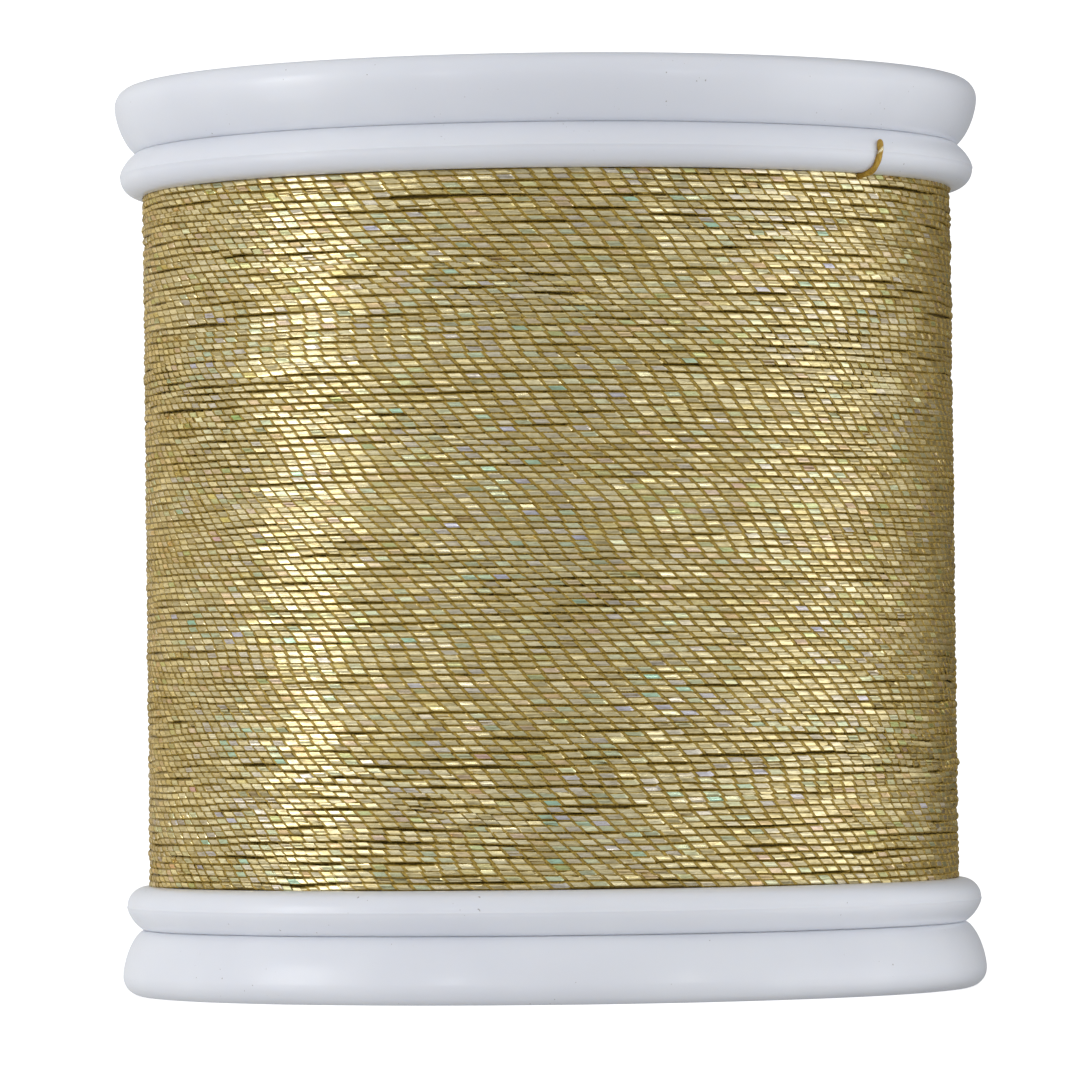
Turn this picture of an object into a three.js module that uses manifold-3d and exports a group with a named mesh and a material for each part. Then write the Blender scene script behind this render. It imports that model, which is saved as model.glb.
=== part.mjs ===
// A small snap-end spool of metallic sewing thread. Millimetres, +Z up, standing on its lower cap.
// The moulded core carries the winding between two flanges. A cap closes each end: its split spigot
// slides in the core's bore, so the cap snaps against the flange or pulls out to free the thread end.

import * as THREE from 'three';
import { mergeVertices } from 'three/addons/utils/BufferGeometryUtils.js';
import Module from 'manifold-3d';

const wasm = await Module();
wasm.setup();

// Driving dimensions
const SPOOL_HEIGHT = 38;
const FIT_GAP = 0.3; // between pieces that touch on the real spool
const FACETS = 48; // sides of every turned piece
const ARC_STEPS = 4; // straight stretches along a rounded edge

const CAP_RADIUS = 18.1;
const CAP_HEIGHT = 2.45;
const CAP_CORNER = 0.8;
const CAP_SWELL = 1.6; // height over which the rim narrows to the groove
const GROOVE_RADIUS = 17.15;
const SPINDLE_HOLE_RADIUS = 4.5;
const HOLE_CHAMFER = 0.35;
const HUB_RADIUS = 5.6;
const RECESS_RADIUS = 15.6;
const RECESS_DEPTH = 0.9;

const FLANGE_RADIUS = 17.9;
const FLANGE_THICKNESS = 1.82;
const FLANGE_CREST = 0.95; // from the flange's outer face to its widest point
const FLANGE_LIP_RADIUS = 17.05; // where the rim meets the face under the thread

const BARREL_RADIUS = 11.2;
const BORE_RADIUS = 10.3;
const COLLAR_RADIUS = 9.8;
const COLLAR_LENGTH = 3.7;

const SPIGOT_RADIUS = COLLAR_RADIUS - FIT_GAP;
const SPIGOT_WALL = 1.1;
const SPIGOT_LENGTH = 7.9;
const CATCH_RADIUS = BORE_RADIUS - FIT_GAP;
const CATCH_HEIGHT = 1.1;
const CAP_TRAVEL = 2;
const SLIT_COUNT = 4;
const SLIT_WIDTH = 1.4;
const SLIT_ROOT = 1.6; // solid spigot left between the cap and its slits

const WINDING_RADIUS = 16.95;
const WINDING_EDGE = 0.35;

const LABEL_THICKNESS = 0.2;
const LABEL_INNER_RADIUS = 6.2;
const LABEL_OUTER_RADIUS = 15;

const THREAD_RADIUS = 0.14;
const TAIL_SIDES = 8;
const TAIL_STEPS = 14;
const TAIL_BEARING = 48.5; // degrees to the right of the front
const TAIL_LEAN = 0.9; // degrees round the rim between its two ends
const TAIL_START_DROP = 0.5; // below the flange
const TAIL_FLARE = 0.35; // out from the rim's lip, where it turns upwards
const TAIL_TIP_BELOW_GROOVE = 0.5;
const TAIL_TIP_DIP = 0.25; // how far the tip follows the rim back in from its crest

// Heights that follow from them
const FLANGE_BASE = CAP_HEIGHT + FIT_GAP;
const FLANGE_TOP = FLANGE_BASE + FLANGE_THICKNESS;
const COLLAR_END = FLANGE_BASE + COLLAR_LENGTH;
const CATCH_BASE = COLLAR_END + CAP_TRAVEL + FIT_GAP;
const SPIGOT_END = CAP_HEIGHT + SPIGOT_LENGTH;

// Materials
function whitePlastic() {
  return new THREE.MeshStandardMaterial({ color: 0xe2e4e9, roughness: 0.32, metalness: 0 });
}

function metallicThread() {
  return new THREE.MeshStandardMaterial({ color: 0xb9a468, roughness: 0.35, metalness: 0.7 });
}

function labelPaper() {
  return new THREE.MeshStandardMaterial({ color: 0xf2efe6, roughness: 0.85, metalness: 0 });
}

// Points along a quarter of an ellipse, as [radius, height], between two angles in degrees.
function arc(centreRadius, centreHeight, alongRadius, alongHeight, from, to) {
  const points = [];
  for (let i = 0; i <= ARC_STEPS; i++) {
    const angle = THREE.MathUtils.degToRad(from + ((to - from) * i) / ARC_STEPS);
    points.push([
      centreRadius + alongRadius * Math.cos(angle),
      centreHeight + alongHeight * Math.sin(angle),
    ]);
  }
  return points;
}

// The same outline seen in a mirror at half the spool's height, walked the other way.
function mirrored(outline) {
  return outline.map(([radius, height]) => [radius, SPOOL_HEIGHT - height]).reverse();
}

// Turns a closed [radius, height] outline, walked anticlockwise, about the Z axis.
function turned(outline) {
  const closed = [...outline, outline[0]].map(([radius, height]) => new THREE.Vector2(radius, height));
  return new THREE.LatheGeometry(closed, FACETS).rotateX(Math.PI / 2);
}

function toSolid(geometry) {
  const bare = geometry.clone();
  bare.deleteAttribute('normal');
  bare.deleteAttribute('uv');
  const merged = mergeVertices(bare);
  return new wasm.Manifold(
    new wasm.Mesh({
      numProp: 3,
      vertProperties: new Float32Array(merged.attributes.position.array),
      triVerts: new Uint32Array(merged.index.array),
    }),
  );
}

function toGeometry(solid) {
  const mesh = solid.getMesh();
  const geometry = new THREE.BufferGeometry();
  geometry.setAttribute('position', new THREE.BufferAttribute(mesh.vertProperties, mesh.numProp));
  geometry.setIndex(new THREE.BufferAttribute(mesh.triVerts, 1));
  geometry.computeVertexNormals();
  return geometry;
}

function named(name, geometry, material) {
  const mesh = new THREE.Mesh(geometry, material);
  mesh.name = name;
  return mesh;
}

// Rim of an end flange, from its outer face up to the face under the thread.
function flangeRim() {
  const crest = FLANGE_BASE + FLANGE_CREST;
  return [
    ...arc(GROOVE_RADIUS, crest, FLANGE_RADIUS - GROOVE_RADIUS, FLANGE_CREST, -90, 0),
    ...arc(FLANGE_LIP_RADIUS, crest, FLANGE_RADIUS - FLANGE_LIP_RADIUS, FLANGE_TOP - crest, 0, 90).slice(1),
  ];
}

// Barrel with a flange at each end; a collar inside each end of the bore holds the cap's catches.
function coreGeometry() {
  const lowerHalf = [
    [BORE_RADIUS, COLLAR_END],
    [COLLAR_RADIUS, COLLAR_END],
    [COLLAR_RADIUS, FLANGE_BASE],
    ...flangeRim(),
    [BARREL_RADIUS, FLANGE_TOP],
  ];
  return turned([...lowerHalf, ...mirrored(lowerHalf)]);
}

// Lower cap: recessed end face, hub round the spindle hole, rounded rim and the spigot above it.
function capOutline() {
  const spigotInner = SPIGOT_RADIUS - SPIGOT_WALL;
  const catchTaper = CATCH_RADIUS - SPIGOT_RADIUS;
  return [
    [SPINDLE_HOLE_RADIUS + HOLE_CHAMFER, 0],
    [HUB_RADIUS, 0],
    [HUB_RADIUS, RECESS_DEPTH],
    [RECESS_RADIUS, RECESS_DEPTH],
    [RECESS_RADIUS, 0],
    ...arc(CAP_RADIUS - CAP_CORNER, CAP_CORNER, CAP_CORNER, CAP_CORNER, -90, 0),
    ...arc(GROOVE_RADIUS, CAP_HEIGHT - CAP_SWELL, CAP_RADIUS - GROOVE_RADIUS, CAP_SWELL, 0, 90),
    [SPIGOT_RADIUS, CAP_HEIGHT],
    [SPIGOT_RADIUS, CATCH_BASE],
    [CATCH_RADIUS, CATCH_BASE],
    [CATCH_RADIUS, CATCH_BASE + CATCH_HEIGHT - catchTaper],
    [SPIGOT_RADIUS, CATCH_BASE + CATCH_HEIGHT],
    [SPIGOT_RADIUS, SPIGOT_END],
    [spigotInner, SPIGOT_END],
    [spigotInner, CAP_HEIGHT],
    [SPINDLE_HOLE_RADIUS, CAP_HEIGHT],
    [SPINDLE_HOLE_RADIUS, HOLE_CHAMFER],
  ];
}

// Slits that part the spigot into fingers, so that they can spring past the collar.
function slitBars() {
  const height = SPIGOT_LENGTH;
  const base = CAP_HEIGHT + SLIT_ROOT;
  const bars = [];
  for (let i = 0; i < SLIT_COUNT / 2; i++) {
    const bar = new THREE.BoxGeometry(3 * SPIGOT_RADIUS, SLIT_WIDTH, height);
    bar.translate(0, 0, base + height / 2);
    bar.rotateZ((i * 2 * Math.PI) / SLIT_COUNT + Math.PI / SLIT_COUNT);
    bars.push(bar);
  }
  return bars;
}

function capGeometry() {
  let cap = toSolid(turned(capOutline()));
  for (const bar of slitBars()) {
    cap = cap.subtract(toSolid(bar));
  }
  return toGeometry(cap);
}

// The wound thread: one ring of its outer shape, clear of the barrel and of both flanges.
function windingGeometry() {
  const inner = BARREL_RADIUS + FIT_GAP;
  const base = FLANGE_TOP + FIT_GAP;
  const lowerHalf = [
    [inner, base],
    ...arc(WINDING_RADIUS - WINDING_EDGE, base + WINDING_EDGE, WINDING_EDGE, WINDING_EDGE, -90, 0),
  ];
  return turned([...lowerHalf, ...mirrored(lowerHalf)]);
}

// The thread's loose end: off the top of the winding, out over the upper flange's rim, cut below the groove.
// Each station is [surface radius, height, share of the lean round the rim].
function tailRoute() {
  const crest = SPOOL_HEIGHT - FLANGE_BASE - FLANGE_CREST;
  const stations = [
    [WINDING_RADIUS, SPOOL_HEIGHT - FLANGE_TOP - TAIL_START_DROP, 0],
    [FLANGE_LIP_RADIUS + TAIL_FLARE, SPOOL_HEIGHT - FLANGE_TOP, 0],
    [FLANGE_RADIUS, crest, 0],
    [FLANGE_RADIUS - TAIL_TIP_DIP, SPOOL_HEIGHT - FLANGE_BASE - TAIL_TIP_BELOW_GROOVE, 1],
  ];
  return new THREE.CatmullRomCurve3(
    stations.map(([surface, height, share]) => {
      const bearing = THREE.MathUtils.degToRad(TAIL_BEARING + TAIL_LEAN * share - 90);
      const radius = surface + FIT_GAP + THREAD_RADIUS;
      return new THREE.Vector3(radius * Math.cos(bearing), radius * Math.sin(bearing), height);
    }),
  );
}

function tailGeometry() {
  const section = new THREE.Shape();
  section.absarc(0, 0, THREAD_RADIUS, 0, 2 * Math.PI);
  return new THREE.ExtrudeGeometry(section, {
    steps: TAIL_STEPS,
    curveSegments: TAIL_SIDES / 2,
    extrudePath: tailRoute(),
    bevelEnabled: false,
  });
}

// Round paper label lying in a cap's recess, with a hole for the hub.
function labelGeometry() {
  const top = RECESS_DEPTH - FIT_GAP;
  const base = top - LABEL_THICKNESS;
  return turned([
    [LABEL_INNER_RADIUS, base],
    [LABEL_OUTER_RADIUS, base],
    [LABEL_OUTER_RADIUS, top],
    [LABEL_INNER_RADIUS, top],
  ]);
}

// Turns a piece of the lower end over, so that it closes the upper end.
function atUpperEnd(mesh) {
  mesh.rotation.x = Math.PI;
  mesh.position.z = SPOOL_HEIGHT;
  return mesh;
}

const spool = new THREE.Group();
spool.add(
  named('spool_core', coreGeometry(), whitePlastic()),
  named('lower_snap_cap', capGeometry(), whitePlastic()),
  atUpperEnd(named('upper_snap_cap', capGeometry(), whitePlastic())),
  named('thread_winding', windingGeometry(), metallicThread()),
  named('thread_tail', tailGeometry(), metallicThread()),
  named('lower_label', labelGeometry(), labelPaper()),
  atUpperEnd(named('upper_label', labelGeometry(), labelPaper())),
);

export default spool;
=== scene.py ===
"""Looks of a snap-end spool of pale gold metallic thread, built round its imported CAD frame."""

import math

import bpy
import numpy as np
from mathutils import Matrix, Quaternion, Vector


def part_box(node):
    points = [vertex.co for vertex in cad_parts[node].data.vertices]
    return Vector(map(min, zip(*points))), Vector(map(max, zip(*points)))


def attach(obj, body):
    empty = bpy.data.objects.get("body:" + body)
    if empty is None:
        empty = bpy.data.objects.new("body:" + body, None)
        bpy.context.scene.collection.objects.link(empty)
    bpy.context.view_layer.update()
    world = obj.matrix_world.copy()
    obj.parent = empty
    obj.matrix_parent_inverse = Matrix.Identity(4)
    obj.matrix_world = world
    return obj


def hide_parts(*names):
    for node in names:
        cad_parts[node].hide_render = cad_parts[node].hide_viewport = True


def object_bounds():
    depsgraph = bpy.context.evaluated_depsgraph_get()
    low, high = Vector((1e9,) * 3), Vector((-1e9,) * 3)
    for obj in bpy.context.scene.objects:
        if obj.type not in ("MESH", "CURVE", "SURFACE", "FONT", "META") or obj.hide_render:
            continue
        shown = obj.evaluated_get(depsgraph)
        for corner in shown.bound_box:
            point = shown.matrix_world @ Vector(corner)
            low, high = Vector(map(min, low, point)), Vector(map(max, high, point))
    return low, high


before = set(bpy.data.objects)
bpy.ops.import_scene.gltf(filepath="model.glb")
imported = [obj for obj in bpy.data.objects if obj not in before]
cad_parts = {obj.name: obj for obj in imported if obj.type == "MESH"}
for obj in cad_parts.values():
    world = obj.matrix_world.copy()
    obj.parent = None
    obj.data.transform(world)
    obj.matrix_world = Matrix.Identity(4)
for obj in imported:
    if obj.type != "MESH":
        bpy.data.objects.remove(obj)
CAD_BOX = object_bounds()

MM = 0.001
TURN = 2 * math.pi

# Places taken from the frame
CAP_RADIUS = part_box("lower_snap_cap")[1].x
CAP_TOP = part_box("spool_core")[0].z  # where the lower cap's seam with the flange lies
FLANGE_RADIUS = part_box("spool_core")[1].x
HEIGHT = CAD_BOX[1].z
CAD_GAP = 0.3 * MM  # left in the frame between pieces that touch
SEAM = 0.008 * MM  # what is left of it here
WINDING_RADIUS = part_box("thread_winding")[1].x
ROOM_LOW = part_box("thread_winding")[0].z - CAD_GAP  # the room for thread between the flanges
ROOM_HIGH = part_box("thread_winding")[1].z + CAD_GAP

# Rims of the caps and flanges, which meet in a groove
GROOVE_RADIUS = 17.2 * MM
CAP_CORNER = 0.8 * MM
CAP_SWELL = 1.9 * MM  # from the seam to where a cap is widest
CAP_BULGE = 1.6  # power of the superellipse that the side follows: 2 is round, less is more pointed
FLANGE_THICKNESS = 1.82 * MM
FLANGE_CREST = 0.95 * MM  # from the seam to where a flange is widest
FLANGE_LIP_RADIUS = 17.05 * MM
FLANGE_BULGE = 1.4
PARTING_LINE = 0.018 * MM  # the fine ridge that the mould left round each flange's crest
OPEN_SEAM = 12  # degrees left off both rims' curves at the upper seam, so that they meet at an open angle

# Inner parts of the caps and core
HOLE_RADIUS = 4.5 * MM
HOLE_CHAMFER = 0.35 * MM
HUB_RADIUS = 5.6 * MM
RECESS_RADIUS = 15.6 * MM
RECESS_DEPTH = 0.75 * MM
INNER_FACE_DROP = 0.3 * MM  # from the seam to the disc's face inside the spigot
BARREL_RADIUS = 11.2 * MM
BORE_RADIUS = 10.3 * MM
COLLAR_RADIUS = 9.8 * MM
COLLAR_END = CAP_TOP + 3.7 * MM
SPIGOT_RADIUS = 9.5 * MM
SPIGOT_INNER = 8.4 * MM
SPIGOT_END = CAP_TOP + 7.6 * MM
FINGERS = 4
FINGER_ROOT = 0.05 * MM  # how deep a finger's foot is sunk in the ring that it grows from
SLIT_ROOT = CAP_TOP + 1.3 * MM
SLIT_WIDTH = 1.4 * MM
CATCH_RADIUS = 10 * MM
CATCH_BASE = CAP_TOP + 6 * MM
CATCH_TOP = CAP_TOP + 7.1 * MM

# Soft edges
CAP_EDGE = 0.16 * MM
CORE_EDGE = 0.1 * MM
FINGER_EDGE = 0.08 * MM
LABEL_EDGE = 0.04 * MM
SHARP_TURN = 25  # degrees: an outline's bends below this aren't corners
EDGE_SHARE = 0.4  # the most of either side of a corner that its rounding takes up
CRISP_SHARE = 0.08  # the same for a corner that is kept crisp

# Steps round and along the turned pieces
LATHE_SIDES = 320
FINGER_SIDES = 40
CORNER_STEPS = 8
LIP_STEPS = 12
RIM_STEPS = 14

# Paper labels
LABEL_THICKNESS = 0.18 * MM
LABEL_SUNK = 0.2 * SEAM  # how deep the paper's back is sunk in the plastic
LABEL_INNER = 6.2 * MM
LABEL_OUTER = 15 * MM

# Thread
PITCH = 0.262 * MM
CELL = 0.72 * MM  # from one binder line to the next along the thread
HALF_HEIGHT = 0.165 * MM
HALF_DEPTH = 0.105 * MM
SLANT = 1.05  # how far a binder line runs along the thread for each unit of height
UNDER_LAYER_DEPTH = 1.35 * HALF_DEPTH  # from the strands' outer side to the layer below
STRIPS = 4  # lengths that each turn's UV map is cut into
BAKE_MAP = "OFBake"  # the UV map laid out for the model's textures to be baked into
BANDS = 5
SEED = 4

# Studio
STAGE_GLOW = 0.55
LAMP_DISTANCE = 0.6
SURROUND_STRENGTH = 1.36
SURROUND_BELOW = 0.86
SURROUND_OVERHEAD = 0.86
SURROUND_STEEP = 0.7  # sine of the elevation from which it is as bright as straight below or overhead
SURROUND_TINT = (0.965, 0.98, 1)

# ---------------------------------------------------------------- meshes


def linked(name, data):
    """A new object in the scene that shows this data."""
    obj = bpy.data.objects.new(name, data)
    bpy.context.scene.collection.objects.link(obj)
    return obj


def smooth_object(name, vertices, faces, materials):
    """A smooth-shaded mesh from lists of points and faces."""
    mesh = bpy.data.meshes.new(name)
    mesh.from_pydata([tuple(v) for v in vertices], [], [tuple(f) for f in faces])
    mesh.polygons.foreach_set("use_smooth", [True] * len(mesh.polygons))
    for material in materials:
        mesh.materials.append(material)
    return linked(name, mesh)


def quad_object(name, vertices, quads, materials):
    """A mesh of four-sided faces from arrays, which is quicker for the many faces of the thread."""
    mesh = bpy.data.meshes.new(name)
    mesh.vertices.add(len(vertices))
    mesh.vertices.foreach_set("co", vertices.astype(np.float32).ravel())
    mesh.loops.add(4 * len(quads))
    mesh.loops.foreach_set("vertex_index", quads.astype(np.int32).ravel())
    mesh.polygons.add(len(quads))
    mesh.polygons.foreach_set("loop_start", np.arange(0, 4 * len(quads), 4, dtype=np.int32))
    for material in materials:
        mesh.materials.append(material)
    mesh.update(calc_edges=True)
    mesh.validate()
    return linked(name, mesh)


def arc(centre, along_radius, along_height, start, end, steps):
    """Points along part of an ellipse in an outline of (radius, height), angles in degrees."""
    angles = np.radians(np.linspace(start, end, steps + 1))
    return [
        (centre[0] + along_radius * math.cos(a), centre[1] + along_height * math.sin(a))
        for a in angles
    ]


def bulge(centre, along_radius, along_height, end, power):
    """Points along a superellipse in an outline of (radius, height), from 0 to `end` degrees."""
    points = []
    for a in np.radians(np.linspace(0, end, RIM_STEPS + 1)):
        x, y = math.cos(a), math.sin(a)
        x, y = (math.copysign(abs(v) ** (2 / power) if abs(v) > 1e-9 else 0, v) for v in (x, y))
        points.append((centre[0] + along_radius * x, centre[1] + along_height * y))
    return points


def side_of_rim(widest, groove, power, cut):
    """Points from a rim's widest point to its groove, on a superellipse less its last `cut` degrees."""
    last = math.radians(90 - cut)
    near = math.cos(last) ** (2 / power) if cut else 0.0
    along_radius = (widest[0] - groove[0]) / (1 - near)
    along_height = (groove[1] - widest[1]) / math.sin(last) ** (2 / power)
    centre = (widest[0] - along_radius, widest[1])
    return bulge(centre, along_radius, along_height, 90 - cut, power)


def softened(outline, corner, steps=3, crisp=None):
    """A closed outline with every sharp corner rounded, but the one at `crisp` only slightly.

    Curved stretches stay as they are.
    """
    points = [np.array(p, float) for p in outline]
    result = []
    for i, here in enumerate(points):
        before, after = points[i - 1], points[(i + 1) % len(points)]
        back, ahead = before - here, after - here
        long_back, long_ahead = np.linalg.norm(back), np.linalg.norm(ahead)
        back, ahead = back / long_back, ahead / long_ahead
        if np.dot(back, ahead) < -math.cos(math.radians(SHARP_TURN)):
            result.append(tuple(here))
            continue
        share = CRISP_SHARE if crisp and np.linalg.norm(here - crisp) < 1e-7 else EDGE_SHARE
        reach = min(corner, share * long_back, share * long_ahead)
        a, b = here + back * reach, here + ahead * reach
        for t in np.linspace(0, 1, steps + 1):
            p = (1 - t) ** 2 * a + 2 * t * (1 - t) * here + t**2 * b
            result.append(tuple(p))
    return result


def turned(name, outline, material, start=0.0, sweep=TURN, sides=LATHE_SIDES):
    """A closed (radius, height) outline, walked anticlockwise, turned about the Z axis."""
    whole = abs(sweep - TURN) < 1e-9
    stations = sides if whole else sides + 1
    angles = start + sweep * np.arange(stations) / sides
    radius = np.array([p[0] for p in outline])
    height = np.array([p[1] for p in outline])
    vertices = np.stack(
        [
            np.outer(np.cos(angles), radius),
            np.outer(np.sin(angles), radius),
            np.broadcast_to(height, (stations, len(outline))),
        ],
        axis=-1,
    ).reshape(-1, 3)
    count = len(outline)
    faces = []
    for i in range(sides):
        j = (i + 1) % stations
        for k in range(count):
            m = (k + 1) % count
            faces.append((i * count + k, j * count + k, j * count + m, i * count + m))
    if not whole:
        faces.append(tuple(range(count)))
        last = (stations - 1) * count
        faces.append(tuple(last + k for k in reversed(range(count))))
    return smooth_object(name, vertices, faces, [material])


def upside_down(obj):
    """Turns the mesh over about the X axis, so that a piece of the lower end fits the upper end."""
    points = np.empty(3 * len(obj.data.vertices))
    obj.data.vertices.foreach_get("co", points)
    points = points.reshape(-1, 3)
    points[:, 1] *= -1
    points[:, 2] = HEIGHT - points[:, 2]
    obj.data.vertices.foreach_set("co", points.ravel())
    obj.data.update()
    return obj


def joined(name, objects):
    """One object from several, in their order."""
    first = objects[0]
    with bpy.context.temp_override(active_object=first, selected_editable_objects=objects):
        bpy.ops.object.join()
    first.name = name
    first.data.name = name
    return first


# ---------------------------------------------------------------- node trees


class Nodes:
    """Shorthand for building the node tree of a material or a world."""

    def __init__(self, owner, coordinates):
        owner.use_nodes = True
        self.tree = owner.node_tree
        self.place = self.add("ShaderNodeTexCoord").outputs[coordinates]

    def add(self, kind, **settings):
        node = self.tree.nodes.new(kind)
        for key, value in settings.items():
            if key in node.inputs:
                node.inputs[key].default_value = value
            else:
                setattr(node, key, value)
        return node

    def link(self, source, target):
        self.tree.links.new(source, target)

    def feed(self, values, sockets):
        """Links or sets each socket, as its value is another node's output or a constant."""
        for value, socket in zip(values, sockets):
            if isinstance(value, bpy.types.NodeSocket):
                self.link(value, socket)
            else:
                socket.default_value = value

    def between(self, value, low, high, out_low=0.0, out_high=1.0):
        """A value mapped from low..high to out_low..out_high, and held at the ends."""
        node = self.add("ShaderNodeMapRange")
        names = ("Value", "From Min", "From Max", "To Min", "To Max")
        self.feed((value, low, high, out_low, out_high), [node.inputs[name] for name in names])
        return node.outputs["Result"]

    def maths(self, operation, *values):
        node = self.add("ShaderNodeMath", operation=operation)
        self.feed(values, node.inputs)
        return node.outputs[0]


class Surface(Nodes):
    """A new material and its shader."""

    def __init__(self, name):
        self.material = bpy.data.materials.new(name)
        super().__init__(self.material, "Object")
        self.shader = self.tree.nodes["Principled BSDF"]

    def set(self, **values):
        for name, value in values.items():
            self.shader.inputs[name.replace("_", " ")].default_value = value

    def noise(self, scale, detail=2.0, roughness=0.5, vector=None):
        """Noise from 0 to 1, whose scale is in waves per metre."""
        node = self.add("ShaderNodeTexNoise", Scale=scale, Detail=detail, Roughness=roughness)
        self.link(vector or self.place, node.inputs["Vector"])
        return node.outputs["Fac"]

    def stretched(self, along_z):
        """Object coordinates scaled along Z: above 1 a pattern streaks round the spool, below 1 up it."""
        node = self.add("ShaderNodeMapping")
        node.inputs["Scale"].default_value = (1, 1, along_z)
        self.link(self.place, node.inputs["Vector"])
        return node.outputs["Vector"]

    def mixed(self, share, first, second):
        """One colour mixed into another by a share from 0 to 1."""
        node = self.add("ShaderNodeMix", data_type="RGBA")
        self.feed((share, first, second), [node.inputs[index] for index in (0, 6, 7)])
        return node.outputs[2]

    def colour(self, source):
        self.link(source, self.shader.inputs["Base Color"])

    def roughness(self, source, low, high):
        """Roughness from low to high, where the source goes from 0.3 to 0.7."""
        self.link(self.between(source, 0.3, 0.7, low, high), self.shader.inputs["Roughness"])

    def bump(self, height, strength, distance):
        node = self.add("ShaderNodeBump", Strength=strength, Distance=distance)
        self.link(height, node.inputs["Height"])
        self.link(node.outputs["Normal"], self.shader.inputs["Normal"])


def linear(red, green, blue):
    """An sRGB colour from 0 to 255 as linear numbers from 0 to 1."""

    def one(value):
        value /= 255
        return value / 12.92 if value <= 0.04045 else ((value + 0.055) / 1.055) ** 2.4

    return (one(red), one(green), one(blue), 1.0)


# ---------------------------------------------------------------- materials


def white_plastic():
    """Semi-gloss moulded plastic, faintly clouded, with a fine grain and a few specks of dust."""
    n = Surface("moulded_white_plastic")
    n.set(IOR=1.49, Subsurface_Weight=0.45, Subsurface_Radius=(1.0, 0.9, 0.8), Subsurface_Scale=0.7 * MM)
    n.set(Coat_Weight=0.28, Coat_Roughness=0.16)
    cloud = n.between(n.noise(140, 3), 0.35, 0.65)
    clean = n.mixed(cloud, linear(228, 230, 237), linear(233, 235, 241))
    speck = n.between(n.noise(8200, 0), 0.84, 0.87)
    dusty_patch = n.between(n.noise(600, 1), 0.55, 0.6)
    n.colour(n.mixed(n.maths("MULTIPLY", speck, dusty_patch), clean, linear(176, 172, 172)))
    grain, ripple = n.noise(9000, 2, 0.6), n.noise(420, 2)
    n.roughness(grain, 0.28, 0.44)
    n.bump(n.maths("MULTIPLY_ADD", grain, 0.3, ripple), 0.25, 0.02 * MM)
    return n.material


def label_paper():
    """Uncoated paper, a little stained."""
    n = Surface("label_paper")
    n.set(Specular_IOR_Level=0.3)
    fibre = n.noise(3800, 4, 0.7)
    stain = n.between(n.noise(90, 3), 0.35, 0.7)
    base = n.mixed(stain, linear(244, 241, 232), linear(236, 231, 218))
    n.colour(n.mixed(n.between(fibre, 0.35, 0.75), base, linear(226, 219, 202)))
    n.roughness(fibre, 0.74, 0.9)
    n.bump(fibre, 0.5, 0.02 * MM)
    return n.material


def metal_foil():
    """Metallised film, streaked along the thread. The mesh's tint layer carries each cell's colour: the
    film's own pale gold, and in some cells painted diffraction colour that stands in for the light the
    film splits.
    """
    n = Surface("metallised_film")
    n.set(Metallic=1.0, IOR=1.5, Specular_Tint=(0.95, 0.76, 0.45, 1))
    tint = n.add("ShaderNodeAttribute", attribute_name="tint", attribute_type="GEOMETRY")
    streak = n.noise(2600, 3, 0.6, n.stretched(7))
    dull = n.between(streak, 0.42, 0.72, 0.0, 0.55)
    n.colour(n.mixed(dull, tint.outputs["Color"], linear(118, 98, 52)))
    n.roughness(streak, 0.24, 0.38)
    n.bump(streak, 0.4, 0.012 * MM)
    return n.material


def binder_yarn():
    """The fine golden yarn wound over the film, and the core that shows between its edges."""
    n = Surface("binder_yarn")
    n.set(Metallic=0.45, IOR=1.5)
    fibre = n.noise(12000, 3, 0.65)
    n.colour(n.mixed(n.between(fibre, 0.3, 0.7), linear(126, 102, 34), linear(190, 161, 74)))
    n.roughness(fibre, 0.34, 0.56)
    n.bump(fibre, 0.5, 0.01 * MM)
    return n.material


def dark_yarn():
    """The layer below, in the shade of the turns above it."""
    n = Surface("shaded_under_layer")
    n.set(Metallic=0.2)
    streak = n.noise(2500, 3)
    n.colour(n.mixed(streak, linear(84, 64, 22), linear(128, 104, 44)))
    n.roughness(streak, 0.5, 0.7)
    n.bump(streak, 0.5, 0.02 * MM)
    return n.material


def tail_yarn():
    """The loose end's yarn, a brighter gold where it is cut and lit from all round."""
    n = Surface("loose_end_yarn")
    n.set(Metallic=0.3, IOR=1.5)
    fibre = n.noise(9000, 3, 0.65, n.stretched(0.4))
    n.colour(n.mixed(n.between(fibre, 0.3, 0.7), linear(146, 110, 34), linear(198, 160, 62)))
    n.roughness(fibre, 0.4, 0.6)
    n.bump(fibre, 0.5, 0.012 * MM)
    return n.material


def stage_white():
    n = Surface("stage_white")
    n.set(Roughness=0.9, Specular_IOR_Level=0.1, Base_Color=(0.93, 0.93, 0.93, 1))
    n.set(Emission_Color=(1, 1, 1, 1), Emission_Strength=STAGE_GLOW)
    return n.material


# ---------------------------------------------------------------- plastic and paper pieces


def cap_disc_outline(crisp):
    seam = CAP_TOP - SEAM
    widest, groove = (CAP_RADIUS, seam - CAP_SWELL), (GROOVE_RADIUS, seam)
    inner_face = seam - INNER_FACE_DROP
    corner = (CAP_RADIUS - CAP_CORNER, CAP_CORNER)
    outline = [
        (HOLE_RADIUS + HOLE_CHAMFER, 0),
        (HUB_RADIUS, 0),
        (HUB_RADIUS, RECESS_DEPTH),
        (RECESS_RADIUS, RECESS_DEPTH),
        (RECESS_RADIUS, 0),
        *arc(corner, CAP_CORNER, CAP_CORNER, -90, 0, CORNER_STEPS),
        *side_of_rim(widest, groove, CAP_BULGE, OPEN_SEAM if crisp else 0),
        (SPIGOT_RADIUS, seam),
        (SPIGOT_RADIUS, SLIT_ROOT),
        (SPIGOT_INNER, SLIT_ROOT),
        (SPIGOT_INNER, inner_face),
        (HOLE_RADIUS, inner_face),
        (HOLE_RADIUS, HOLE_CHAMFER),
    ]
    return softened(outline, CAP_EDGE, crisp=groove if crisp else None)


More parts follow.
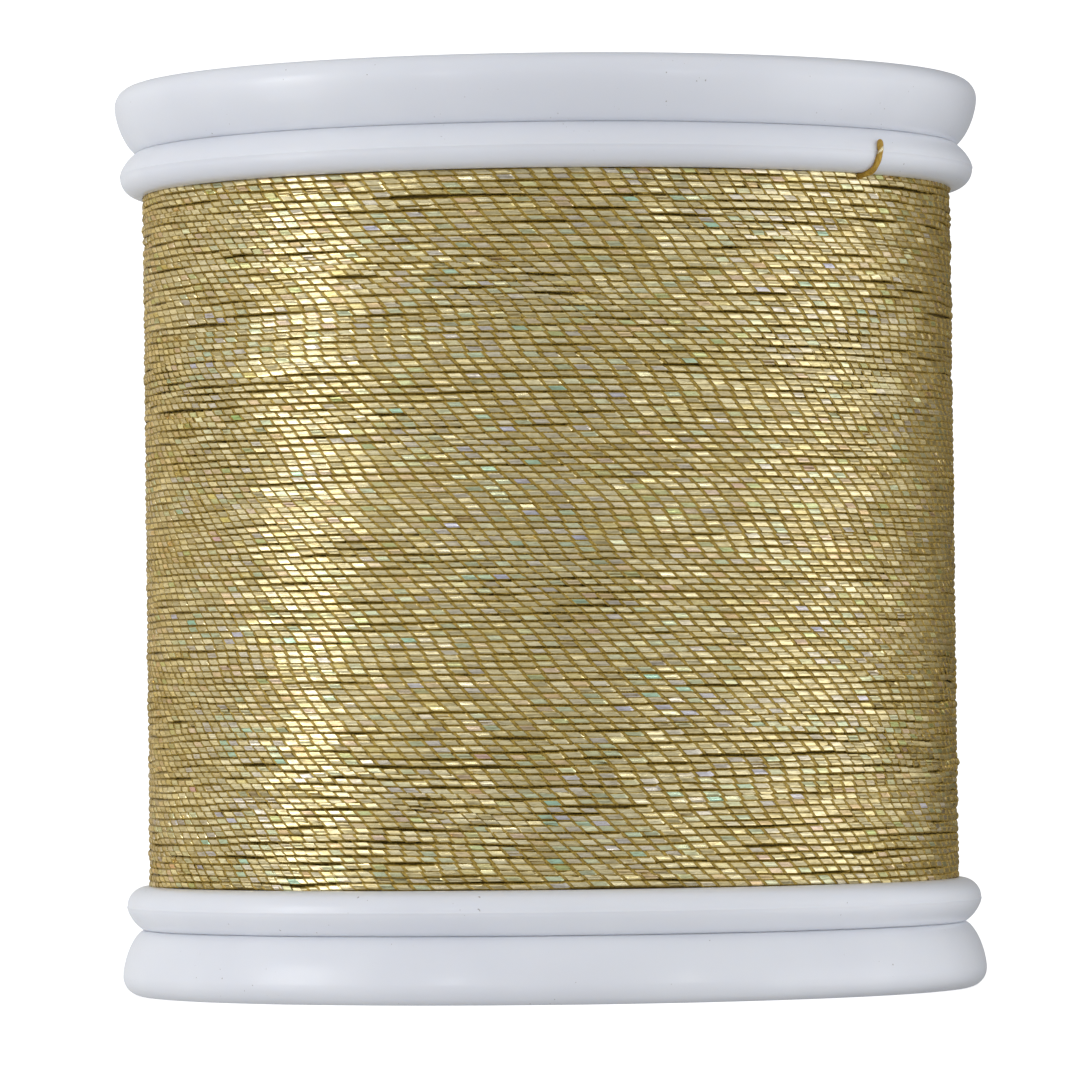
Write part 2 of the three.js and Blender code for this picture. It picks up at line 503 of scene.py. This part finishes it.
def finger_outline():
    foot = SLIT_ROOT - FINGER_ROOT
    outline = [
        (SPIGOT_RADIUS, foot),
        (SPIGOT_RADIUS, CATCH_BASE),
        (CATCH_RADIUS, CATCH_BASE),
        (CATCH_RADIUS, CATCH_TOP - (CATCH_RADIUS - SPIGOT_RADIUS)),
        (SPIGOT_RADIUS, CATCH_TOP),
        (SPIGOT_RADIUS, SPIGOT_END),
        (SPIGOT_INNER, SPIGOT_END),
        (SPIGOT_INNER, foot),
    ]
    return softened(outline, FINGER_EDGE, 2)


def snap_cap(name, plastic, crisp=False):
    """The lower cap. With `crisp` its rim meets the flange at an open angle, with a crisp edge."""
    parts = [turned(name, cap_disc_outline(crisp), plastic)]
    slit = SLIT_WIDTH / SPIGOT_RADIUS
    for i in range(FINGERS):
        start = (i + 0.5) * TURN / FINGERS + slit / 2
        sweep = TURN / FINGERS - slit
        parts.append(turned(f"finger_{i}", finger_outline(), plastic, start, sweep, FINGER_SIDES))
    return joined(name, parts)


def flange_rim(face, crest, top, cut):
    """Points round the lower flange's rim from its groove to its top, with the parting line between."""
    ridge = 3 * PARTING_LINE
    widest, groove = (FLANGE_RADIUS, crest - ridge), (GROOVE_RADIUS, face)
    lip = (FLANGE_LIP_RADIUS, crest + ridge)
    return [
        *reversed(side_of_rim(widest, groove, FLANGE_BULGE, cut)),
        (FLANGE_RADIUS + PARTING_LINE, crest - ridge / 3),
        (FLANGE_RADIUS + PARTING_LINE, crest + ridge / 3),
        *arc(lip, FLANGE_RADIUS - FLANGE_LIP_RADIUS, top - crest - ridge, 0, 90, LIP_STEPS),
    ]


def core_end(cut):
    """The core's outline at its lower end. Its rim's curve lacks the last `cut` degrees."""
    face = CAP_TOP
    top = face + FLANGE_THICKNESS
    return [
        (BORE_RADIUS, COLLAR_END),
        (COLLAR_RADIUS, COLLAR_END),
        (COLLAR_RADIUS, face),
        *flange_rim(face, face + FLANGE_CREST, top, cut),
        (BARREL_RADIUS, top),
    ]


def spool_core(plastic):
    upper = [(r, HEIGHT - z) for r, z in reversed(core_end(OPEN_SEAM))]
    upper_groove = (GROOVE_RADIUS, HEIGHT - CAP_TOP)
    outline = softened(core_end(0) + upper, CORE_EDGE, crisp=upper_groove)
    return turned("moulded_core", outline, plastic)


def label(name, paper):
    back = RECESS_DEPTH + LABEL_SUNK
    face = RECESS_DEPTH - LABEL_THICKNESS
    outline = [(LABEL_INNER, face), (LABEL_OUTER, face), (LABEL_OUTER, back), (LABEL_INNER, back)]
    return turned(name, softened(outline, LABEL_EDGE, 2), paper)


# ---------------------------------------------------------------- thread

# Stations along one cell, as (share of the cell, how far the surface stands out from the film's level)
STATIONS = [
    (0.00, -0.022 * MM),
    (0.11, 0.018 * MM),
    (0.22, -0.022 * MM),
    (0.24, 0.0),
    (0.968, 0.0),
]
FOIL_STATIONS = (2, 3, 4)  # the stretches after these stations are film, and the rest is binder
TILT_SIDES = (0, 0, 0, 1.0, -1.0)  # which way the film's tilt along the thread moves each station

# Section of the strand from its upper edge down its outer side, in shares of (half height, half depth)
SECTION = [(1.0, 0.3), (0.53, 0.86), (0.2, 1.0), (-0.2, 1.0), (-0.53, 0.86), (-1.0, 0.3)]
FOIL_FACETS = (1, 2, 3)  # the facets after these points are film
FACET_SPANS = (0.02, 0.20, 0.40, 0.60, 0.80, 0.96, 0.99)  # the points' places across a UV strip

# The film's own colours, and those that it splits the light into
FILM_GOLD = (207, 189, 134)
FILM_CREAM = (225, 215, 178)
# Painted light: these hues stand in for the light that the film splits and reflects, painted into the
# cells as fixed colours
FILM_HUES = [
    (150, 214, 196),
    (178, 186, 226),
    (238, 178, 140),
    (140, 206, 110),
    (226, 172, 186),
    (240, 218, 110),
    (150, 140, 100),
    (150, 118, 80),
]
COOL_HUES = 2  # only the first so many appear in the patches with the most strong painted glints
COOL_PATCH = 0.3  # noise above which a patch is such a one
CREAM_SHARES = (0.25, 0.85)
FILM_LEVEL = 1.08
FILM_SPREAD = 0.13  # how much the cells differ in brightness
FAINT_CELLS = 0.4  # share of the cells with faint painted diffraction colour
FAINT_TINTS = (0.08, 0.32)
STRONG_CELLS = 0.016  # share of the cells with strong painted diffraction colour (painted glints), on average
STRONG_PATCHES = 0.03  # how far that share rises and falls from patch to patch
STRONG_LIMITS = (0.003, 0.09)
STRONG_TINTS = (0.35, 0.7)


def smooth_noise(rng, shape, knots):
    """Smooth noise about 0 on a grid, from a coarse random grid that wraps along its last axis."""
    rows, columns = shape
    coarse = rng.standard_normal((knots[0] + 1, knots[1]))
    y = np.linspace(0, knots[0], rows, endpoint=False)
    x = np.linspace(0, knots[1], columns, endpoint=False)
    y0, x0 = np.floor(y).astype(int), np.floor(x).astype(int)
    fy, fx = y - y0, x - x0
    fy, fx = fy * fy * (3 - 2 * fy), fx * fx * (3 - 2 * fx)
    x1 = (x0 + 1) % knots[1]
    low = coarse[y0][:, x0] * (1 - fx) + coarse[y0][:, x1] * fx
    high = coarse[y0 + 1][:, x0] * (1 - fx) + coarse[y0 + 1][:, x1] * fx
    return low * (1 - fy)[:, None] + high * fy[:, None]


def winding_rows():
    """Height of the lowest turn, from one turn to the next, and how many turns."""
    low = ROOM_LOW + HALF_HEIGHT
    high = ROOM_HIGH - HALF_HEIGHT
    rows = int(round((high - low) / PITCH)) + 1
    return low, (high - low) / (rows - 1), rows


def cell_tints(rng, rows, cells):
    """Colour of each cell's film: its own pale gold, with painted diffraction colour, faint in many cells
    and strong in a few.
    """
    size = (rows, cells)
    gold = np.array(linear(*FILM_GOLD)[:3])
    cream = np.array(linear(*FILM_CREAM)[:3])
    share = rng.uniform(*CREAM_SHARES, (*size, 1))
    tint = gold * (1 - share) + cream * share
    tint *= FILM_LEVEL * np.exp(FILM_SPREAD * rng.standard_normal((*size, 1)))
    patch = smooth_noise(rng, size, (14, 24))
    faint = rng.random(size) < FAINT_CELLS
    strong = rng.random(size) < np.clip(STRONG_CELLS + STRONG_PATCHES * patch, *STRONG_LIMITS)
    strength = faint * rng.uniform(*FAINT_TINTS, size)
    strength = np.where(strong, rng.uniform(*STRONG_TINTS, size), strength)[:, :, None]
    hues = np.array([linear(*hue)[:3] for hue in FILM_HUES])
    # the chosen hue is painted diffraction colour, mixed into the film's own gold
    chosen = hues[rng.integers(0, np.where(patch > COOL_PATCH, COOL_HUES, len(hues)))]
    return np.clip(tint * (1 - strength) + chosen * strength, 0.02, 0.98)


def lay_of_thread(rng, rows, cells, pitch):
    """How each cell of each turn departs from an even winding.

    Drift is in cells, swell is a ratio, and the rest are in metres.
    """

    def waves(*terms):
        """A sum of smooth noises, each given as (size, knots down the winding, knots round a turn)."""
        return sum(size * smooth_noise(rng, (rows, cells), knots) for size, *knots in terms)

    def scatter(size, columns=cells):
        return size * rng.standard_normal((rows, columns))

    each = rows - 1  # a knot for each turn
    return {
        "wander": pitch * waves((0.25, 14, 9), (0.12, each, 48), (0.06, each, 74)),
        "sink": MM * waves((0.022, each, 46), (0.010, each, 74)),
        "swell": 1 + waves((0.07, each, 40)),
        "drift": -0.34 * np.arange(rows)[:, None] + waves((1.1, 11, 10)) + scatter(0.05, 1),
        "tilt_along": MM * (scatter(0.010) + waves((0.013, each, 46))),
        "tilt_across": MM * (scatter(0.008) + waves((0.010, each, 37))),
    }


def turn_points(lay, row, low, pitch, cells):
    """Positions round one turn, as (cells, stations, section points, 3)."""

    def of(name):
        return lay[name][row][:, None, None]

    share = np.array([s[0] for s in STATIONS])[None, :, None]
    stand = np.array([s[1] for s in STATIONS])[None, :, None]
    side = np.array(TILT_SIDES)[None, :, None]
    up = np.array([p[0] for p in SECTION])[None, None, :]
    out = np.array([p[1] for p in SECTION])[None, None, :]
    cell = np.arange(cells)[:, None, None]
    along = cell + of("drift") + share - SLANT * HALF_HEIGHT * up / CELL
    angle = along * TURN / cells
    height = low + pitch * row + of("wander")
    height = height + HALF_HEIGHT * up * of("swell")
    shape = stand + side * of("tilt_along") + np.abs(side) * np.sign(up) * of("tilt_across")
    radius = WINDING_RADIUS - HALF_DEPTH + of("sink") + HALF_DEPTH * out + shape
    height = np.broadcast_to(np.clip(height, ROOM_LOW, ROOM_HIGH), radius.shape)
    return np.stack([radius * np.cos(angle), radius * np.sin(angle), height], -1)


def turn_quads(cells):
    """One turn's faces between neighbouring stations and section points, and what each one is."""
    stations, points = len(STATIONS), len(SECTION)
    ring = cells * stations
    here = np.arange(ring)
    ahead = (here + 1) % ring
    quads = [
        np.stack([here * points + k, here * points + m, ahead * points + m, ahead * points + k], -1)
        for k, m in ((k, (k + 1) % points) for k in range(points))
    ]
    facet = np.repeat(np.arange(points), ring)
    station = np.tile(here % stations, points)
    cell = np.tile(here // stations, points)
    is_foil = np.isin(station, FOIL_STATIONS) & np.isin(facet, FOIL_FACETS)
    return np.concatenate(quads), facet, station, cell, is_foil


def bake_corners(turns, cells, facet, station, cell):
    """UV corners of every quad: the turns lie side by side as straight strips."""
    per_strip = cells / STRIPS
    strip = np.floor(cell / per_strip)
    starts = np.array([s[0] for s in STATIONS] + [1.0])
    u = [(cell - strip * per_strip + starts[station + k]) / per_strip for k in (0, 1)]
    spans = np.array(FACET_SPANS)
    corners = []
    for turn in range(turns):
        lane = turn * STRIPS + strip
        v = [(lane + spans[facet + k]) / (turns * STRIPS) for k in (0, 1)]
        corners.append(np.stack([u[0], v[0], u[0], v[1], u[1], v[1], u[1], v[0]], -1))
    return np.concatenate(corners)


def add_tints(mesh, corners):
    """Adds the layer that the film's material reads its colour from."""
    layer = mesh.attributes.new("tint", "FLOAT_COLOR", "CORNER")
    layer.data.foreach_set("color", corners.ravel())


def winding(foil, yarn):
    """The visible turns of the winding, as BANDS objects of whole turns."""
    rng = np.random.default_rng(SEED)
    low, pitch, rows = winding_rows()
    cells = STRIPS * round(TURN * WINDING_RADIUS / CELL / STRIPS)
    lay = lay_of_thread(rng, rows, cells, pitch)
    tints = cell_tints(rng, rows, cells)
    quads, facet, station, cell, is_foil = turn_quads(cells)
    turn_size = cells * len(STATIONS) * len(SECTION)
    bands = []
    for band in range(BANDS):
        chosen = range(rows * band // BANDS, rows * (band + 1) // BANDS)
        points = [turn_points(lay, row, low, pitch, cells).reshape(-1, 3) for row in chosen]
        faces = [quads + i * turn_size for i in range(len(chosen))]
        name = f"winding_turns_{band + 1}"
        obj = quad_object(name, np.concatenate(points), np.concatenate(faces), [foil, yarn])
        mesh = obj.data
        foil_faces = np.tile(is_foil, len(chosen))
        mesh.polygons.foreach_set("material_index", np.where(foil_faces, 0, 1).astype(np.int32))
        mesh.polygons.foreach_set("use_smooth", ~foil_faces)
        rgba = np.ones((len(foil_faces), 4, 4), np.float32)
        rgba[:, :, :3] = np.concatenate([tints[row][cell] for row in chosen])[:, None, :]
        add_tints(mesh, rgba)
        corners = bake_corners(len(chosen), cells, facet, station, cell).astype(np.float32)
        mesh.uv_layers.new(name=BAKE_MAP).uv.foreach_set("vector", corners.ravel())
        bands.append(obj)
    return bands


def under_layer(yarn):
    """The turns below, as one dark body that shows only in the gaps."""
    inner, outer = BARREL_RADIUS, WINDING_RADIUS - UNDER_LAYER_DEPTH
    outline = [(inner, ROOM_LOW), (outer, ROOM_LOW), (outer, ROOM_HIGH), (inner, ROOM_HIGH)]
    return turned("winding_under_layer", outline, yarn)


# ---------------------------------------------------------------- loose end

# Its route over the upper flange's rim, as (radius, height, degrees right of the front)
RIM_CREST = HEIGHT - CAP_TOP - FLANGE_CREST
TAIL_ROUTE = [
    (WINDING_RADIUS - 0.15 * MM, RIM_CREST - 1.02 * MM, 48.5),
    (FLANGE_LIP_RADIUS + 0.22 * MM, RIM_CREST - 0.92 * MM, 48.55),
    (FLANGE_LIP_RADIUS + 0.69 * MM, RIM_CREST - 0.71 * MM, 48.65),
    (FLANGE_RADIUS + 0.11 * MM, RIM_CREST - 0.1 * MM, 48.8),
    (FLANGE_RADIUS + 0.10 * MM, RIM_CREST + 0.16 * MM, 48.9),
    (FLANGE_RADIUS - 0.03 * MM, RIM_CREST + 0.45 * MM, 49.4),
]
TAIL_STEPS = 16  # between one point of the route and the next
TAIL_SIDES = 16
TAIL_RADIUS = 0.125 * MM
TAIL_PLY = 0.09  # how far its two plies stand out, as a share of the radius
TAIL_TWIST = 0.1 * MM  # length along it for each radian that the plies' pattern turns
TAIL_FILM = (0.50, 0.66)  # the share of a cell that shows film
TAIL_COLOUR = (226, 214, 176)


def smooth_line(points, steps):
    """Catmull-Rom curve through the points, its ends carried on straight."""
    p = np.array([2 * points[0] - points[1], *points, 2 * points[-1] - points[-2]])
    line = []
    for a, b, c, d in zip(p, p[1:], p[2:], p[3:]):
        for t in np.arange(steps) / steps:
            square, cube = 2 * a - 5 * b + 4 * c - d, 3 * b - a - 3 * c + d
            line.append(0.5 * (2 * b + (c - a) * t + square * t**2 + cube * t**3))
    return np.array(line + [p[-2]])


def unit(vectors):
    return vectors / np.linalg.norm(vectors, axis=1)[:, None]


def tube_faces(rings, sides):
    """Faces round a tube from ring to ring, and then its two ends."""
    faces = []
    for i in range(rings - 1):
        for k in range(sides):
            m = (k + 1) % sides
            faces.append((i * sides + k, i * sides + m, (i + 1) * sides + m, (i + 1) * sides + k))
    faces.append(tuple(reversed(range(sides))))
    faces.append(tuple((rings - 1) * sides + k for k in range(sides)))
    return faces


def loose_end(foil, yarn):
    """The cut end of the thread: a round strand with one stretch of film showing, rounded at the cut."""
    stations = []
    for r, height, bearing in TAIL_ROUTE:
        a = math.radians(bearing)
        stations.append(np.array([r * math.sin(a), -r * math.cos(a), height]))
    line = smooth_line(stations, TAIL_STEPS)
    ahead = unit(np.gradient(line, axis=0))
    across = unit(np.cross(ahead, unit(line * np.array([1, 1, 0]))))
    outward = np.cross(across, ahead)
    run = np.concatenate([[0], np.cumsum(np.linalg.norm(np.diff(line, axis=0), axis=1))])
    left = run[-1] - run
    round_end = np.sqrt(np.clip(1 - (1 - np.clip(left / TAIL_RADIUS, 0, 1)) ** 2, 0.04, 1))
    angle = TURN * np.arange(TAIL_SIDES) / TAIL_SIDES
    ply = 1 + TAIL_PLY * np.cos(2 * angle[None, :] - run[:, None] / TAIL_TWIST)
    size = (TAIL_RADIUS * round_end[:, None] * ply)[:, :, None]
    rings = (
        line[:, None]
        + size * np.cos(angle)[None, :, None] * outward[:, None]
        + size * np.sin(angle)[None, :, None] * across[:, None]
    )
    faces = tube_faces(len(line), TAIL_SIDES)
    obj = smooth_object("loose_thread_end", rings.reshape(-1, 3), faces, [foil, yarn])
    share = (left[:-1, None] / CELL + angle[None, :] / TURN) % 1.0
    film = (share > TAIL_FILM[0]) & (share < TAIL_FILM[1]) & (left[:-1, None] < CELL)
    index = np.append(np.where(film, 0, 1), [1, 1])
    obj.data.polygons.foreach_set("material_index", index.astype(np.int32))
    colour = np.array(linear(*TAIL_COLOUR), np.float32)
    add_tints(obj.data, np.tile(colour, len(obj.data.loops)))
    return obj


# ---------------------------------------------------------------- stage


def camera():
    """At the photograph's view: level with the spool's lower third, a long lens, a slight roll."""
    data = bpy.data.cameras.new("camera")
    data.lens = 269
    data.sensor_width = 36
    data.clip_start, data.clip_end = 0.01, 10
    obj = linked("camera", data)
    distance, height, aside = 339 * MM, 11.6 * MM, -0.43 * MM
    aim = HEIGHT / 2 - 0.1 * MM
    roll = math.radians(0.65)
    obj.location = (aside, -distance, height)
    obj.rotation_mode = "QUATERNION"
    look = Vector((0, distance, aim - height)).to_track_quat("-Z", "Y")
    obj.rotation_quaternion = look @ Quaternion((0, 0, 1), -roll)
    bpy.context.scene.camera = obj


def softbox(name, azimuth, elevation, wide, tall, power):
    """A rectangular lamp facing the spool. Azimuth is degrees to the right of the front."""
    a, e = math.radians(azimuth), math.radians(elevation)
    away = Vector((math.sin(a) * math.cos(e), -math.cos(a) * math.cos(e), math.sin(e)))
    data = bpy.data.lights.new(name, "AREA")
    data.shape = "RECTANGLE"
    data.size, data.size_y = wide, tall
    data.energy = power
    obj = linked(name, data)
    obj.location = Vector((0, 0, HEIGHT / 2)) + away * LAMP_DISTANCE
    obj.rotation_mode = "QUATERNION"
    obj.rotation_quaternion = (-away).to_track_quat("-Z", "Y")
    obj.visible_camera = False


def lamps():
    softbox("key_left", azimuth=-72, elevation=0, wide=0.22, tall=0.5, power=1.2)
    softbox("wide_right", azimuth=80, elevation=-10, wide=0.45, tall=0.5, power=0.62)
    softbox("glint_left", azimuth=-27, elevation=3, wide=0.05, tall=0.25, power=0.225)
    softbox("glint_right", azimuth=34, elevation=2, wide=0.05, tall=0.25, power=0.21)


# The studio's brightness all round, as (degrees to the right of the front, radiance)
SURROUND = [
    (-180, 0.45),
    (-144, 0.68),
    (-103, 0.76),
    (-60, 0.74),
    (-25, 0.68),
    (0, 0.58),
    (20, 0.64),
    (40, 0.74),
    (90, 0.78),
    (118, 0.68),
    (136, 0.24),
    (158, 0.06),
    (180, 0.3),
]


def surround():
    """Pale walls, brightest at the sides and darkest behind the spool, and dimmer above and below."""
    world = bpy.data.worlds.new("studio")
    bpy.context.scene.world = world
    n = Nodes(world, "Generated")
    split = n.add("ShaderNodeSeparateXYZ")
    n.link(n.place, split.inputs[0])
    x, y, z = split.outputs
    azimuth = n.maths("ARCTAN2", x, n.maths("MULTIPLY", y, -1))
    ramp = n.add("ShaderNodeValToRGB")
    marks = ramp.color_ramp.elements
    while len(marks) < len(SURROUND):
        marks.new(0.5)
    for mark, (degrees, level) in zip(marks, SURROUND):
        mark.position = (degrees + 180) / 360
        mark.color = (*(tint * level for tint in SURROUND_TINT), 1)
    n.link(n.between(azimuth, -math.pi, math.pi), ramp.inputs["Fac"])
    below = n.between(z, -SURROUND_STEEP, 0, SURROUND_BELOW, SURROUND_STRENGTH)
    overhead = n.between(z, 0, SURROUND_STEEP, 1, SURROUND_OVERHEAD)
    background = n.tree.nodes["Background"]
    n.link(ramp.outputs["Color"], background.inputs["Color"])
    n.link(n.maths("MULTIPLY", below, overhead), background.inputs["Strength"])


def stage():
    """A pale floor that curves up into a wall all round, and that the lower cap always stands on."""
    middle, flat, bend, top = 0.0001, 1.0, 0.5, 2.0
    bend_steps, sides = 16, 96
    outline = [(middle, 0), (flat, 0)]
    outline += arc((flat, bend), bend, bend, -90, 0, bend_steps)[1:]
    outline += [(flat + bend, top)]
    angles = TURN * np.arange(sides) / sides
    vertices = [(r * math.cos(a), r * math.sin(a), z) for a in angles for r, z in outline]
    count = len(outline)
    faces = []
    for i in range(sides):
        j = (i + 1) % sides
        for k in range(count - 1):
            faces.append((i * count + k, i * count + k + 1, j * count + k + 1, j * count + k))
    floor = smooth_object("stage_floor", vertices, faces, [stage_white()])
    floor.visible_diffuse = False
    floor.visible_glossy = False
    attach(floor, "lower_cap")


# ---------------------------------------------------------------- build

camera()
bpy.context.scene.view_settings.view_transform = "Standard"
plastic = white_plastic()
paper = label_paper()
foil = metal_foil()
yarn = binder_yarn()

core = spool_core(plastic)
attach(core, "core")
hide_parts("spool_core")

lower = snap_cap("lower_end_cap", plastic)
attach(lower, "lower_cap")
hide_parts("lower_snap_cap")

upper = upside_down(snap_cap("upper_end_cap", plastic, crisp=True))
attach(upper, "upper_cap")
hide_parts("upper_snap_cap")

lower_paper = label("lower_paper_label", paper)
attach(lower_paper, "lower_cap")
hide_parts("lower_label")

upper_paper = upside_down(label("upper_paper_label", paper))
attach(upper_paper, "upper_cap")
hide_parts("upper_label")

for piece in [*winding(foil, yarn), under_layer(dark_yarn())]:
    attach(piece, "core")
    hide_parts("thread_winding")

tail = loose_end(foil, tail_yarn())
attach(tail, "core")
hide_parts("thread_tail")

lamps()
surround()
stage()
